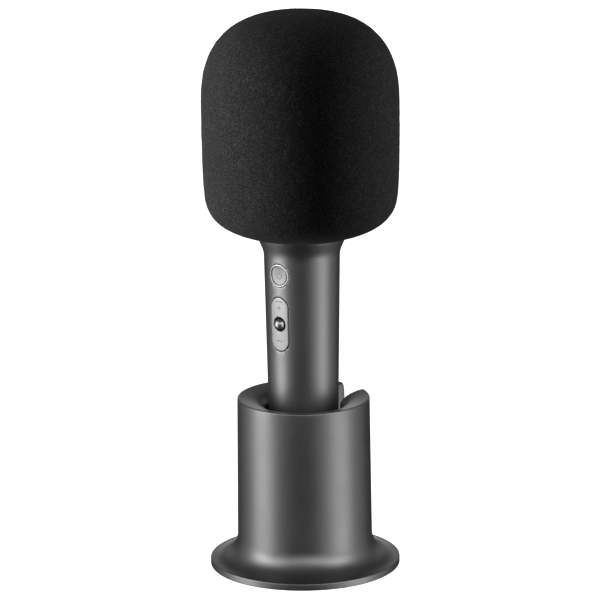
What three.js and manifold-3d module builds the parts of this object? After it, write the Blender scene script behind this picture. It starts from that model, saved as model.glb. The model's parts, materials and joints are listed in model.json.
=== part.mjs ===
// A wireless karaoke microphone standing in its desk cup, as separate pieces. Millimetres, +Z up.
// The origin is the middle of the cup's foot, on the table. The cup's cable slot faces +Y.
// The microphone stands turned by MIC_TWIST in the round cup; its buttons face its own -Y side.
import * as THREE from "three";
import { mergeVertices } from "three/addons/utils/BufferGeometryUtils.js";
import Module from "manifold-3d";

const wasm = await Module();
wasm.setup();

// ---- driving dimensions ----
const GAP = 0.3; // clearance between pieces that touch
const MIC_TWIST = THREE.MathUtils.degToRad(12);

// desk cup
const FOOT_R = 41.5; // outer radius of the foot disc
const FOOT_BOTTOM = 0.15; // underside of the shell, above the rubber ring's sole
const FOOT_EDGE = 3.2; // top of the foot disc's rim
const BARREL_LOW_R = 29.45; // where the flare meets the barrel
const BARREL_LOW_Z = 14.2;
const RIM_R = 28.85; // barrel radius at the rim
const RIM_Z = 75.4;
const RIM_ROUND = 0.6;
const LIP_BORE_R = 16.75; // narrowest radius of the rolled lip
const LIP_DROP = 5.2; // how far the lip rolls down
const LIP_UNDER_Z = 66;
const SLEEVE_R = 18.4; // seat of the cup liner inside the shell
const SLEEVE_WALL = 2;
const PLATE_SEAT_R = 36.3;
const PLATE_TOP = 2.8;
const SLOT_HALF = 6; // half the width of the cable slot
const SLOT_BOTTOM = 12;
const SLOT_ROUND = 2.2; // rounding of the slot's corners at the rim
const CHEEK = 2; // wall on each side of the slot
const SCREW_PITCH_R = 25;
const SCREW_ANGLES = [-90, 30, 150];
const LEDGE_Z = 20; // the step in the cup that carries the microphone
const LEDGE_R = 11.5;

// handle
const MIC_Z = LEDGE_Z + GAP;
const HANDLE_LOW_R = 14.35;
const HANDLE_TOP_R = 16.445;
const HANDLE_TOP_Z = 139;
const HANDLE_BORE_LOW_R = 12.75;
const HANDLE_BORE_TOP_R = 14.9;
const HANDLE_BORE_TOP_Z = 140;
const NECK_R = 20.4; // rim of the neck flare, under the foam
const NECK_Z = 147.8;

// controls, all on the -Y side of the handle; "depth" is the distance from the handle's axis
const POWER_Z = 132.8;
const POWER_RING_R = 4.95;
const POWER_RING_BORE_R = 4.35;
const POWER_CAP_R = 4.05;
const ROCKER_Z = 111.2;
const ROCKER_WIDTH = 8.9;
const ROCKER_LENGTH = 23.8;
const ROCKER_SEAM = 0.6;
const ROCKER_THICK = 1.5;
const ROCKER_POST_RISE = 7.35; // from the pivot to each end's post
const PIVOT_DEPTH = 11.6;
const BALL_R = 2.55;
const BALL_DEPTH = 15.45;
const BALL_HOLE_R = 3.15;
const BOARD_DEPTH = 6.6; // front face of the main board
const SWITCH_TOP = 9.4; // tip of each switch plunger
const STEM_END = 10.1; // inner end of the stems and posts
const CARRIER_BACK = 9.7;
const CARRIER_FRONT = 10.5;

// head
const COLLAR_R = 18.6;
const COLLAR_FOOT_Z = 138.9; // above the power button's ring
const COLLAR_TOP_Z = 151.7;
const BASKET_R = 34.9;
const BASKET_WALL = 1;
const BASKET_FOOT_Z = 168.3;
const HOOP_HEIGHT = 4;
const FOAM_R = 42.497; // widest radius of the foam
const FOAM_WIDE_Z = 204.6;
const FOAM_TOP_Z = 245;
const FOAM_WALL = 7.2;
const FOAM_FOOT_Z = 148.1;
const DOME_POWER = 2.6; // squareness of the foam's and basket's domes
const CHAMBER_R = 26;
const CHAMBER_HALF = 17; // half the distance between the two baffles
const CHAMBER_FOOT_Z = 154.9;
const CHAMBER_TOP_Z = 206;
const DRIVER_Z = 182;

// how finely round pieces are faceted
const FINE = 44;
const MEDIUM = 28;
const COARSE = 20;
const SMALL = 12;

// ---- materials ----
const material = (color, roughness, metalness) =>
  new THREE.MeshStandardMaterial({ color, roughness, metalness });
const gunmetal = material(0x55565a, 0.35, 0.9);
const silver = material(0xc4c6c9, 0.25, 1);
const steel = material(0x9b9ea3, 0.3, 1);
const blackGloss = material(0x0b0b0c, 0.06, 0);
const blackPlastic = material(0x1d1e20, 0.55, 0);
const blackRubber = material(0x17171a, 0.85, 0);
const foamBlack = material(0x1b1b1c, 0.98, 0);
const board = material(0x1f4d35, 0.5, 0);
const cellWrap = material(0x2f6fb5, 0.4, 0);
const conePaper = material(0x26262a, 0.8, 0);

// ---- geometry helpers ----
const v2 = ([r, z]) => new THREE.Vector2(r, z);

// Points along a cubic Bezier curve between two places, without its first point.
function bend(a, b, c, d, steps) {
  const curve = new THREE.CubicBezierCurve(v2(a), v2(b), v2(c), v2(d));
  return curve
    .getPoints(steps)
    .slice(1)
    .map((p) => [p.x, p.y]);
}

// A dome's outline from its foot [radius, footZ] to the axis at topZ, as a superellipse.
function dome(radius, footZ, topZ, steps) {
  const points = [];
  for (let i = 1; i <= steps; i++) {
    const angle = (i / steps) * (Math.PI / 2);
    const r = i === steps ? 0 : radius * Math.cos(angle) ** (2 / DOME_POWER);
    points.push([r, footZ + (topZ - footZ) * Math.sin(angle) ** (2 / DOME_POWER)]);
  }
  return points;
}

// A piece turned about Z from an outline [r, z] that runs anticlockwise.
function turned(outline, segments = MEDIUM) {
  const onAxis = outline[0][0] === 0;
  const closed = onAxis ? outline : [...outline, outline[0]];
  return new THREE.LatheGeometry(closed.map(v2), segments).rotateX(Math.PI / 2);
}

const rod = (r, low, high, segments = SMALL) =>
  turned([[0, low], [r, low], [r, high], [0, high]], segments);

const box = (x, y, z) =>
  new THREE.BoxGeometry(x[1] - x[0], y[1] - y[0], z[1] - z[0]).translate(
    (x[0] + x[1]) / 2,
    (y[0] + y[1]) / 2,
    (z[0] + z[1]) / 2,
  );

// A flat outline pushed along Z.
const pushed = (shape, low, high, curveSegments = 8) =>
  new THREE.ExtrudeGeometry(shape, {
    depth: high - low,
    bevelEnabled: false,
    curveSegments,
  }).translate(0, 0, low);

// A slot-shaped outline with round ends, long along Y (or along X if it is wider than high).
function pill(width, height) {
  const r = Math.min(width, height) / 2;
  const x = width / 2 - r;
  const y = height / 2 - r;
  const shape = new THREE.Shape();
  shape.absarc(x, y, r, 0, Math.PI / 2);
  shape.absarc(-x, y, r, Math.PI / 2, Math.PI);
  shape.absarc(-x, -y, r, Math.PI, 1.5 * Math.PI);
  shape.absarc(x, -y, r, 1.5 * Math.PI, 2 * Math.PI);
  return shape;
}

// Turns a piece made along Z to stand out of the handle's -Y side at height z.
const facing = (geometry, z) => geometry.rotateX(Math.PI / 2).translate(0, 0, z);

// Turns a piece made along Z to point along side * X at height z.
const sideways = (geometry, side, z) =>
  geometry.rotateY((side * Math.PI) / 2).translate(0, 0, z);

function solid(geometry) {
  const bare = geometry.index ? geometry.toNonIndexed() : geometry.clone();
  bare.deleteAttribute("normal");
  bare.deleteAttribute("uv");
  const merged = mergeVertices(bare, 1e-4);
  return new wasm.Manifold(
    new wasm.Mesh({
      numProp: 3,
      vertProperties: merged.attributes.position.array,
      triVerts: new Uint32Array(merged.index.array),
    }),
  );
}

function geometryOf(body) {
  const mesh = body.getMesh();
  return new THREE.BufferGeometry()
    .setAttribute("position", new THREE.BufferAttribute(mesh.vertProperties, 3))
    .setIndex(new THREE.BufferAttribute(mesh.triVerts, 1));
}

const joined = (...geometries) =>
  geometries.map(solid).reduce((whole, next) => whole.add(next));
const less = (body, ...geometries) =>
  geometries.reduce((left, geometry) => left.subtract(solid(geometry)), body);

const root = new THREE.Group();
const mic = new THREE.Group();
mic.rotation.z = MIC_TWIST;
root.add(mic);

function place(group, name, shape, look) {
  const geometry = shape.isBufferGeometry ? shape : geometryOf(shape);
  const mesh = new THREE.Mesh(geometry, look);
  mesh.name = name;
  group.add(mesh);
}

// ---- desk cup ----
const FLARE_RUN = FOOT_R - BARREL_LOW_R;
const FLARE_RISE = BARREL_LOW_Z - FOOT_EDGE;

// The concave flare from the foot's rim up to the barrel, a quarter ellipse.
function flare() {
  const points = [];
  const steps = 8;
  for (let i = 1; i <= steps; i++) {
    const angle = (i / steps) * (Math.PI / 2);
    points.push([
      FOOT_R - 0.5 - (FLARE_RUN - 0.5) * Math.sin(angle),
      BARREL_LOW_Z - FLARE_RISE * Math.cos(angle),
    ]);
  }
  return points;
}

// The lip that slopes from the rim and rolls down into the bore.
function lip() {
  const start = [RIM_R - RIM_ROUND, RIM_Z];
  return [
    start,
    ...bend(
      start,
      [start[0] - 4, RIM_Z - 0.65],
      [LIP_BORE_R + 1.5, RIM_Z - 1.6],
      [LIP_BORE_R, RIM_Z - LIP_DROP],
      7,
    ),
  ];
}

// The cable slot seen from behind: open at the rim with rounded corners, round at its bottom.
function slotCutter() {
  const turn = RIM_Z - SLOT_ROUND;
  const shape = new THREE.Shape();
  shape.moveTo(-SLOT_HALF, turn);
  shape.absarc(0, SLOT_BOTTOM + SLOT_HALF, SLOT_HALF, Math.PI, 2 * Math.PI);
  shape.lineTo(SLOT_HALF, turn);
  shape.absarc(SLOT_HALF + SLOT_ROUND, turn, SLOT_ROUND, Math.PI, Math.PI / 2, true);
  shape.lineTo(SLOT_HALF + SLOT_ROUND, RIM_Z + 5);
  shape.lineTo(-SLOT_HALF - SLOT_ROUND, RIM_Z + 5);
  shape.absarc(-SLOT_HALF - SLOT_ROUND, turn, SLOT_ROUND, Math.PI / 2, 0, true);
  return pushed(shape, 8, FOOT_R + 5, 6).rotateX(Math.PI / 2).rotateZ(Math.PI);
}

const atScrew = (geometry, degrees) => {
  const angle = THREE.MathUtils.degToRad(degrees);
  return geometry.translate(
    SCREW_PITCH_R * Math.cos(angle),
    SCREW_PITCH_R * Math.sin(angle),
    0,
  );
};

function standShell() {
  const skin = turned(
    [
      [PLATE_SEAT_R, FOOT_BOTTOM],
      [FOOT_R - 0.4, FOOT_BOTTOM],
      [FOOT_R, FOOT_BOTTOM + 0.4],
      [FOOT_R, FOOT_EDGE - 0.5],
      [FOOT_R - 0.15, FOOT_EDGE - 0.15],
      [FOOT_R - 0.5, FOOT_EDGE],
      ...flare(),
      [RIM_R, RIM_Z - RIM_ROUND],
      [RIM_R - 0.18, RIM_Z - 0.18],
      ...lip(),
      [LIP_BORE_R, LIP_UNDER_Z],
      [SLEEVE_R, LIP_UNDER_Z],
      [SLEEVE_R, PLATE_TOP + GAP],
      [PLATE_SEAT_R, PLATE_TOP + GAP],
    ],
    FINE,
  );
  const hollow = turned(
    [
      [SLEEVE_R + SLEEVE_WALL, PLATE_TOP - 1],
      [33.5, PLATE_TOP - 1],
      [33.5, PLATE_TOP + GAP],
      [31, 6],
      [27.4, 11],
      [27, BARREL_LOW_Z],
      [26.4, RIM_Z - 2.9],
      [SLEEVE_R + SLEEVE_WALL, RIM_Z - 4.9],
    ],
    MEDIUM,
  );
  const cheeks = SLOT_HALF + CHEEK;
  const pocket = less(solid(hollow), box([-cheeks, cheeks], [0, 50], [0, 90]));
  let shell = solid(skin).subtract(pocket);
  for (const angle of SCREW_ANGLES) {
    shell = shell.add(solid(atScrew(rod(3.4, PLATE_TOP + GAP, 14), angle)));
    shell = less(shell, atScrew(rod(1.7, 0, 12), angle));
  }
  return less(shell, slotCutter());
}

function cupLiner() {
  const cup = turned(
    [
      [0, PLATE_TOP + 2 * GAP],
      [SLEEVE_R - GAP, PLATE_TOP + 2 * GAP],
      [SLEEVE_R - GAP, LIP_UNDER_Z - GAP],
      [16.3, LIP_UNDER_Z - GAP],
      [15.1, LEDGE_Z],
      [LEDGE_R, LEDGE_Z],
      [LEDGE_R, LEDGE_Z - 1.8],
      [15.2, LEDGE_Z - 3.8],
      [15.2, 5.4],
      [0, 5.4],
    ],
    MEDIUM,
  );
  return less(solid(cup), slotCutter());
}

function ballastRing() {
  const ring = turned(
    [
      [SLEEVE_R + SLEEVE_WALL + 0.4, PLATE_TOP + 2 * GAP],
      [32.2, PLATE_TOP + 2 * GAP],
      [29.6, 7],
      [28, 9.3],
      [SLEEVE_R + SLEEVE_WALL + 0.4, 9.3],
    ],
    MEDIUM,
  );
  const cheeks = SLOT_HALF + CHEEK + 0.4;
  const bosses = SCREW_ANGLES.map((angle) => atScrew(rod(3.8, 0, 20), angle));
  return less(solid(ring), box([-cheeks, cheeks], [0, 50], [0, 20]), ...bosses);
}

const SOLE_INNER_R = 27.6;
const SOLE_OUTER_R = 34.6;

function basePlate() {
  const plate = turned(
    [
      [0, 0.8],
      [SOLE_INNER_R - GAP, 0.8],
      [SOLE_INNER_R - GAP, 1.6],
      [SOLE_OUTER_R + GAP, 1.6],
      [SOLE_OUTER_R + GAP, 0.8],
      [PLATE_SEAT_R - GAP, 0.8],
      [PLATE_SEAT_R - GAP, PLATE_TOP],
      [0, PLATE_TOP],
    ],
    MEDIUM,
  );
  const holes = SCREW_ANGLES.flatMap((angle) => [
    atScrew(rod(1.75, 0, 5), angle),
    atScrew(rod(2.6, 0, 2.1), angle),
  ]);
  return less(solid(plate), ...holes);
}

function footRing() {
  return turned(
    [
      [SOLE_INNER_R, 0],
      [SOLE_OUTER_R, 0],
      [SOLE_OUTER_R, 1.3],
      [SOLE_INNER_R, 1.3],
    ],
    FINE,
  );
}

function baseScrew(angle) {
  const outline = [
    [0, 1],
    [2.3, 1],
    [2.3, 1.8],
    [1.4, 1.8],
    [1.4, 10],
    [0, 10],
  ];
  const driveRecess = atScrew(rod(0.9, 0.5, 1.4, 6), angle);
  return less(solid(atScrew(turned(outline, SMALL), angle)), driveRecess);
}

place(root, "stand_shell", standShell(), gunmetal);
place(root, "cup_liner", cupLiner(), blackRubber);
place(root, "ballast_ring", ballastRing(), steel);
place(root, "base_plate", basePlate(), blackPlastic);
place(root, "foot_ring", footRing(), blackRubber);
SCREW_ANGLES.forEach((angle, i) =>
  place(root, `base_screw_${i + 1}`, baseScrew(angle), steel),
);

// ---- handle ----
const HANDLE_TAPER = (HANDLE_TOP_R - HANDLE_LOW_R) / (HANDLE_TOP_Z - MIC_Z);
const handleR = (z) => HANDLE_LOW_R + (z - MIC_Z) * HANDLE_TAPER;

// The handle's outer cone over a stretch, moved in or out by "offset".
const coneOver = (low, high, offset) =>
  turned(
    [
      [0, low],
      [handleR(low) + offset, low],
      [handleR(high) + offset, high],
      [0, high],
    ],
    FINE,
  );

function handleShell() {
  const tube = turned(
    [
      [HANDLE_BORE_LOW_R, MIC_Z],
      [HANDLE_LOW_R - 0.35, MIC_Z],
      [HANDLE_LOW_R, MIC_Z + 0.35],
      [HANDLE_TOP_R, HANDLE_TOP_Z],
      ...bend([HANDLE_TOP_R, HANDLE_TOP_Z], [16.5, 142], [17.8, 144.2], [NECK_R, 147.2], 5),
      [NECK_R + 0.05, NECK_Z - 0.3],
      [NECK_R - 0.3, NECK_Z],
      [HANDLE_BORE_TOP_R, NECK_Z],
      [HANDLE_BORE_TOP_R, HANDLE_BORE_TOP_Z],
    ],
    FINE,
  );
  const seam = 2 * ROCKER_SEAM;
  const rockerHole = pushed(pill(ROCKER_WIDTH + seam, ROCKER_LENGTH + seam), 5, 20);
  const powerHole = rod(POWER_RING_R + GAP, 5, 20, COARSE);
  return less(solid(tube), facing(rockerHole, ROCKER_Z), facing(powerHole, POWER_Z));
}

const PORT_Z = MIC_Z + 0.9;

function endCap() {
  const disc = rod(HANDLE_BORE_LOW_R - 0.35, MIC_Z + 0.6, MIC_Z + 4, MEDIUM);
  return less(solid(disc), pushed(pill(9.6, 3.9), MIC_Z, MIC_Z + 5));
}

// The charging socket: a flat steel shell with a contact tongue inside, its mouth facing down.
function chargePort() {
  const shell = less(
    solid(pushed(pill(8.94, 3.26), PORT_Z, PORT_Z + 7.3)),
    pushed(pill(8.34, 2.66), PORT_Z - 1, PORT_Z + 6.3),
  );
  return shell.add(solid(box([-3.3, 3.3], [-0.35, 0.35], [PORT_Z + 0.8, PORT_Z + 7])));
}

const PORT_BOARD_Z = PORT_Z + 7.3 + GAP;
const CELL_LOW = 31.2;
const CELL_HIGH = 96.2;

function batteryCell() {
  return turned(
    [
      [0, CELL_LOW],
      [8.7, CELL_LOW],
      [9.1, CELL_LOW + 0.5],
      [9.1, CELL_HIGH - 0.6],
      [8.6, CELL_HIGH],
      [3, CELL_HIGH],
      [3, CELL_HIGH + 1],
      [0, CELL_HIGH + 1],
    ],
    COARSE,
  );
}

// The half-round trough that cradles the cell and carries the main board on two rails.
function chassis() {
  const half = less(
    solid(
      turned([[9.6, 30.6], [11.9, 30.6], [11.9, 138.6], [9.6, 138.6]], COARSE),
    ),
    box([-20, 20], [-20, 0.5], [0, 200]),
  );
  const rails = [-1, 1].map((side) =>
    solid(box([9.8, 11.6].map((x) => x * side).sort((a, b) => a - b), [-5.1, 1], [99, 138.6])),
  );
  const shelf = solid(box([-10.5, 10.5], [-4.8, 4], [98.4, 100]));
  return half.add(rails[0]).add(rails[1]).add(shelf);
}

function mainBoard() {
  return box([-10.8, 10.8], [-BOARD_DEPTH, -BOARD_DEPTH + 1.2], [97.6, 139]);
}

function tactSwitch(z) {
  const body = box([-1.7, 1.7], [-1.7, 1.7], [BOARD_DEPTH + GAP, SWITCH_TOP - 0.5]);
  const plunger = rod(0.8, SWITCH_TOP - 1, SWITCH_TOP, 12);
  return facing(geometryOf(joined(body, plunger)), z);
}

// The frame behind the buttons: it guides their stems and carries the rocker's two trunnions.
function buttonCarrier() {
  const plate = box([-6.6, 6.6], [96.6 - ROCKER_Z, 138.2 - ROCKER_Z], [CARRIER_BACK, CARRIER_FRONT]);
  const ends = [97.9 - ROCKER_Z, 136.9 - ROCKER_Z];
  const sides = [-5.6, 5.6];
  const legs = ends.flatMap((y) =>
    sides.map((x) =>
      box([x - 0.8, x + 0.8], [y - 0.8, y + 0.8], [BOARD_DEPTH + GAP, CARRIER_BACK + 0.2]),
    ),
  );
  const ears = sides.map((x) => box([x - 0.6, x + 0.6], [-1.7, 1.7], [CARRIER_FRONT - 0.2, 12.6]));
  const guides = [
    [POWER_Z - ROCKER_Z, 1.6],
    [0, 1.6],
    [ROCKER_POST_RISE, 1.5],
    [-ROCKER_POST_RISE, 1.5],
  ].map(([y, r]) => rod(r, 8, 12).translate(0, y, 0));
  const trunnionBore = rod(1.15, -8, 8).rotateY(Math.PI / 2).translate(0, 0, PIVOT_DEPTH);
  const frame = less(joined(plate, ...legs, ...ears), ...guides, trunnionBore);
  return facing(geometryOf(frame), ROCKER_Z);
}

function volumeRocker() {
  const low = ROCKER_Z - 20;
  const high = ROCKER_Z + 20;
  const skin = less(solid(coneOver(low, high, 0)), coneOver(low - 1, high + 1, -ROCKER_THICK));
  const outline = facing(pushed(pill(ROCKER_WIDTH, ROCKER_LENGTH), 12, 20), ROCKER_Z);
  const cheeks = [-1, 1].map((side) =>
    box([3.6, 4.35].map((x) => x * side).sort((a, b) => a - b), [-1.5, 1.5], [10.9, 14.6]),
  );
  const trunnions = [-1, 1].map((side) =>
    rod(0.75, 4.2, 6).rotateY((side * Math.PI) / 2).translate(0, 0, PIVOT_DEPTH),
  );
  const posts = [-1, 1].map((end) =>
    rod(1, STEM_END, 14.7).translate(0, end * ROCKER_POST_RISE, 0),
  );
  const works = [...cheeks, ...trunnions, ...posts].map((g) => solid(facing(g, ROCKER_Z)));
  const rocker = works.reduce((whole, next) => whole.add(next), skin.intersect(solid(outline)));
  return less(rocker, facing(rod(BALL_HOLE_R, 13, 20, COARSE), ROCKER_Z));
}

function centreButton() {
  const ball = new THREE.SphereGeometry(BALL_R, 18, 10).translate(0, 0, BALL_DEPTH);
  const stem = rod(1.1, STEM_END, BALL_DEPTH - 1);
  return facing(geometryOf(joined(ball, stem)), ROCKER_Z);
}

function powerRing() {
  const tube = less(
    solid(facing(rod(POWER_RING_R, 13.4, 20, MEDIUM), POWER_Z)),
    facing(rod(POWER_RING_BORE_R, 10, 22, MEDIUM), POWER_Z),
  );
  return tube.intersect(solid(coneOver(POWER_Z - 10, POWER_Z + 5, 0.12)));
}

function powerButton() {
  const cap = solid(facing(rod(POWER_CAP_R, 14.2, 20, MEDIUM), POWER_Z)).intersect(
    solid(coneOver(POWER_Z - 10, POWER_Z + 5, -0.15)),
  );
  return cap.add(solid(facing(rod(1.2, STEM_END, 14.6), POWER_Z)));
}

place(mic, "handle_shell", handleShell(), gunmetal);
place(mic, "end_cap", endCap(), blackPlastic);
place(mic, "charge_port", chargePort(), steel);
place(mic, "port_board", rod(11, PORT_BOARD_Z, PORT_BOARD_Z + 1, COARSE), board);
place(mic, "battery_cell", batteryCell(), cellWrap);
place(mic, "chassis", chassis(), blackPlastic);
place(mic, "main_board", mainBoard(), board);
place(mic, "power_switch", tactSwitch(POWER_Z), steel);
place(mic, "volume_up_switch", tactSwitch(ROCKER_Z + ROCKER_POST_RISE), steel);
place(mic, "centre_switch", tactSwitch(ROCKER_Z), steel);
place(mic, "volume_down_switch", tactSwitch(ROCKER_Z - ROCKER_POST_RISE), steel);
place(mic, "button_carrier", buttonCarrier(), blackPlastic);
place(mic, "power_ring", powerRing(), silver);
place(mic, "power_button", powerButton(), gunmetal);
place(mic, "volume_rocker", volumeRocker(), gunmetal);
place(mic, "centre_button", centreButton(), blackGloss);

// ---- head ----
function neckCollar() {
  return turned([
    [13.1, COLLAR_FOOT_Z],
    [HANDLE_BORE_TOP_R - GAP, COLLAR_FOOT_Z],
    [HANDLE_BORE_TOP_R - GAP, NECK_Z + GAP],
    [COLLAR_R, NECK_Z + GAP],
    [COLLAR_R, COLLAR_TOP_Z],
    [13.1, COLLAR_TOP_Z],
  ]);
}

// The bowl that closes the basket from below.
function headBase() {
  return turned([
    [13.1, COLLAR_TOP_Z + GAP],
    [COLLAR_R, COLLAR_TOP_Z + GAP],
    [COLLAR_R, 152.6],
    [30.4, 157.5],
    [34.6, 163],
    [BASKET_R, BASKET_FOOT_Z - GAP],
    [33, BASKET_FOOT_Z - GAP],
    [32.8, 163.6],
    [29.4, 159.4],
    [18, 154.6],
    [13.1, 154.6],
  ]);
}

function basketHoop() {
  const inner = BASKET_R - BASKET_WALL - 0.3;
  const top = BASKET_FOOT_Z + HOOP_HEIGHT;
  return turned([
    [inner, BASKET_FOOT_Z],
    [BASKET_R, BASKET_FOOT_Z],
    [BASKET_R, top],
    [inner, top],
  ]);
}

const BASKET_TOP_Z = FOAM_TOP_Z - FOAM_WALL + 0.1;

function basket() {
  const foot = BASKET_FOOT_Z + HOOP_HEIGHT + GAP;
  const inner = BASKET_R - BASKET_WALL;
  return turned([
    ...dome(inner, FOAM_WIDE_Z, BASKET_TOP_Z - BASKET_WALL, 7).reverse(),
    [inner, FOAM_WIDE_Z],
    [inner, foot],
    [BASKET_R, foot],
    [BASKET_R, FOAM_WIDE_Z],
    ...dome(BASKET_R, FOAM_WIDE_Z, BASKET_TOP_Z, 7),
  ]);
}

// The sealed box between the two loudspeakers: round at front and back, with two flat baffles.
function speakerChamber() {
  const barrel = (inset) =>
    turned([
      [0, CHAMBER_FOOT_Z + inset],
      [17 - inset, CHAMBER_FOOT_Z + inset],
      [CHAMBER_R - inset, 159.2 + inset],
      [CHAMBER_R - inset, CHAMBER_TOP_Z - inset],
      [0, CHAMBER_TOP_Z - inset],
    ]);
  const between = (half) => box([-half, half], [-40, 40], [140, 220]);
  const outside = solid(barrel(0)).intersect(solid(between(CHAMBER_HALF)));
  const inside = solid(barrel(2)).intersect(solid(between(CHAMBER_HALF - 2)));
  const openings = rod(16.3, -30, 30, MEDIUM).rotateY(Math.PI / 2).translate(0, 0, DRIVER_Z);
  return less(outside.subtract(inside), openings);
}

// Each loudspeaker is turned about its own axis; its outlines run from the magnet outwards.
const driver = {
  frame: [
    [6.2, 8.3],
    [11.5, 8.3],
    [15.7, 14],
    [15.7, 17.3],
    [19, 17.3],
    [19, 18.7],
    [17.3, 18.7],
    [17.3, 18],
    [14.9, 18],
    [14.9, 14.4],
    [10.8, 9.3],
    [6.2, 9.3],
  ],
  magnet: [
    [0, 1.2],
    [10.5, 1.2],
    [10.5, 8],
    [4, 8],
    [4, 10.5],
    [0, 10.5],
  ],
  cone: [
    [0, 14.6],
    [4.6, 13.6],
    [4.6, 9.5],
    [5.4, 9.5],
    [5.4, 13.2],
    [13.2, 17],
    [13.2, 17.7],
    [6, 14.5],
    [4.6, 15.5],
    [2.6, 16.3],
    [0, 16.6],
  ],
  surround: [
    [13.5, 18.3],
    [17, 18.3],
    [17, 18.9],
    [16.4, 19],
    [15.9, 19.8],
    [15.2, 20.1],
    [14.5, 19.8],
    [14, 19],
    [13.5, 18.9],
  ],
};

function capsule() {
  return turned(
    [
      [0, CHAMBER_TOP_Z + 0.5],
      [9, CHAMBER_TOP_Z + 0.5],
      [9, 209],
      [11, 210],
      [11, 222],
      [9.5, 225.5],
      [5, 227.2],
      [0, 227.6],
    ],
    COARSE,
  );
}

function capsuleMount() {
  return turned(
    [
      [11 + GAP, CHAMBER_TOP_Z + GAP],
      [16, CHAMBER_TOP_Z + GAP],
      [16, 210],
      [14.5, 216],
      [11 + GAP, 216],
    ],
    COARSE,
  );
}

// The slip-on foam: a thick open-bottomed cap whose cavity follows the basket.
function foamWindscreen() {
  const cavity = FOAM_R - FOAM_WALL;
  return turned(
    [
      ...dome(cavity, FOAM_WIDE_Z, FOAM_TOP_Z - FOAM_WALL + 0.5, 7).reverse(),
      [cavity, FOAM_WIDE_Z],
      [cavity, BASKET_FOOT_Z - 0.2],
      [cavity - 0.35, 162.8],
      [30.8, 157.05],
      [COLLAR_R + 0.4, 152.2],
      [COLLAR_R + 0.4, FOAM_FOOT_Z + 0.2],
      [20.2, FOAM_FOOT_Z],
      ...bend([20.2, FOAM_FOOT_Z], [22, 148.4], [23.6, 148.7], [25.2, 149.4], 2),
      ...bend([25.2, 149.4], [35.2, 152.2], [40.2, 156.6], [41.3, 163.9], 5),
      ...bend([41.3, 163.9], [42.3, 169.8], [FOAM_R, 184], [FOAM_R, FOAM_WIDE_Z], 3),
      ...dome(FOAM_R, FOAM_WIDE_Z, FOAM_TOP_Z, 10),
    ],
    FINE,
  );
}

place(mic, "neck_collar", neckCollar(), blackPlastic);
place(mic, "head_base", headBase(), blackPlastic);
place(mic, "basket_hoop", basketHoop(), steel);
place(mic, "basket", basket(), steel);
place(mic, "speaker_chamber", speakerChamber(), blackPlastic);
for (const [hand, side] of [["left", -1], ["right", 1]]) {
  const turnedDriver = (outline) => sideways(turned(outline, COARSE), side, DRIVER_Z);
  place(mic, `${hand}_speaker_frame`, turnedDriver(driver.frame), blackPlastic);
  place(mic, `${hand}_speaker_magnet`, turnedDriver(driver.magnet), steel);
  place(mic, `${hand}_speaker_cone`, turnedDriver(driver.cone), conePaper);
  place(mic, `${hand}_speaker_surround`, turnedDriver(driver.surround), blackRubber);
}
place(mic, "capsule", capsule(), steel);
place(mic, "capsule_mount", capsuleMount(), blackRubber);
place(mic, "foam_windscreen", foamWindscreen(), foamBlack);

export default root;
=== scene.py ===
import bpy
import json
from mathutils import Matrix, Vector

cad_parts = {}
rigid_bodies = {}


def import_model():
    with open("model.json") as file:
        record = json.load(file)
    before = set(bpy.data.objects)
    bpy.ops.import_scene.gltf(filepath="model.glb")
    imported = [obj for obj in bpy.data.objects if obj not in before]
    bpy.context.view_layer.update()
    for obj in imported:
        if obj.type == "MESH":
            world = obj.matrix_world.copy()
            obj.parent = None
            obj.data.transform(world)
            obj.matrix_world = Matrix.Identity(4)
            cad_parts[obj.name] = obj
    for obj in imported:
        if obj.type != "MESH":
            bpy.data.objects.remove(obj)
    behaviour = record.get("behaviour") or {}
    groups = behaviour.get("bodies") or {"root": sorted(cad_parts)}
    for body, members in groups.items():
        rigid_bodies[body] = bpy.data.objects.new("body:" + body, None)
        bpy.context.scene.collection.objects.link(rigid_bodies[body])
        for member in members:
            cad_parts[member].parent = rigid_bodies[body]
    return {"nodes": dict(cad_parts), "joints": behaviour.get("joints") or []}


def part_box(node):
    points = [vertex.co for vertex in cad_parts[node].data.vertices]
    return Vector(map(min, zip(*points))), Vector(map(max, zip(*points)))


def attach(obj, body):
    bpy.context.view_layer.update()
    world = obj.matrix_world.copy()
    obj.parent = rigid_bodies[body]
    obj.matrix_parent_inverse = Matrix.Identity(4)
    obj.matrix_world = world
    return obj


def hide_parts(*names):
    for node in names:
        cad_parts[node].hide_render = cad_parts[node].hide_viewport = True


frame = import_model()

"""A wireless karaoke microphone standing in its desk cup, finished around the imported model.

Meshes are built in millimetres, each piece about its own upright axis, and are scaled to
metres as they are placed. The microphone's pieces are made with their controls on the -Y side
and turned as the microphone stands in the cup.
"""
import json
import logging
import math
from collections.abc import Callable, Iterable, Sequence
from dataclasses import dataclass, field
from enum import Enum

import bmesh
import bpy
from mathutils import Matrix, Quaternion, Vector, noise

LOG = logging.getLogger("microphone")
MM = 0.001  # metres in a millimetre

Pair = tuple[float, float]
Outline = list[Pair]
Socket = bpy.types.NodeSocket


# ---- colour and shader nodes ----


def linear(hex_colour: str) -> tuple[float, float, float, float]:
    """Turns an sRGB colour into the linear one that shaders use.

    Args:
        hex_colour: six hex digits after a hash, such as "#5A5B5E".

    Returns:
        Linear red, green and blue, and an alpha of 1.
    """
    parts = [int(hex_colour[i : i + 2], 16) / 255 for i in (1, 3, 5)]
    red, green, blue = (
        c / 12.92 if c <= 0.04045 else ((c + 0.055) / 1.055) ** 2.4 for c in parts
    )
    return red, green, blue, 1.0


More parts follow.
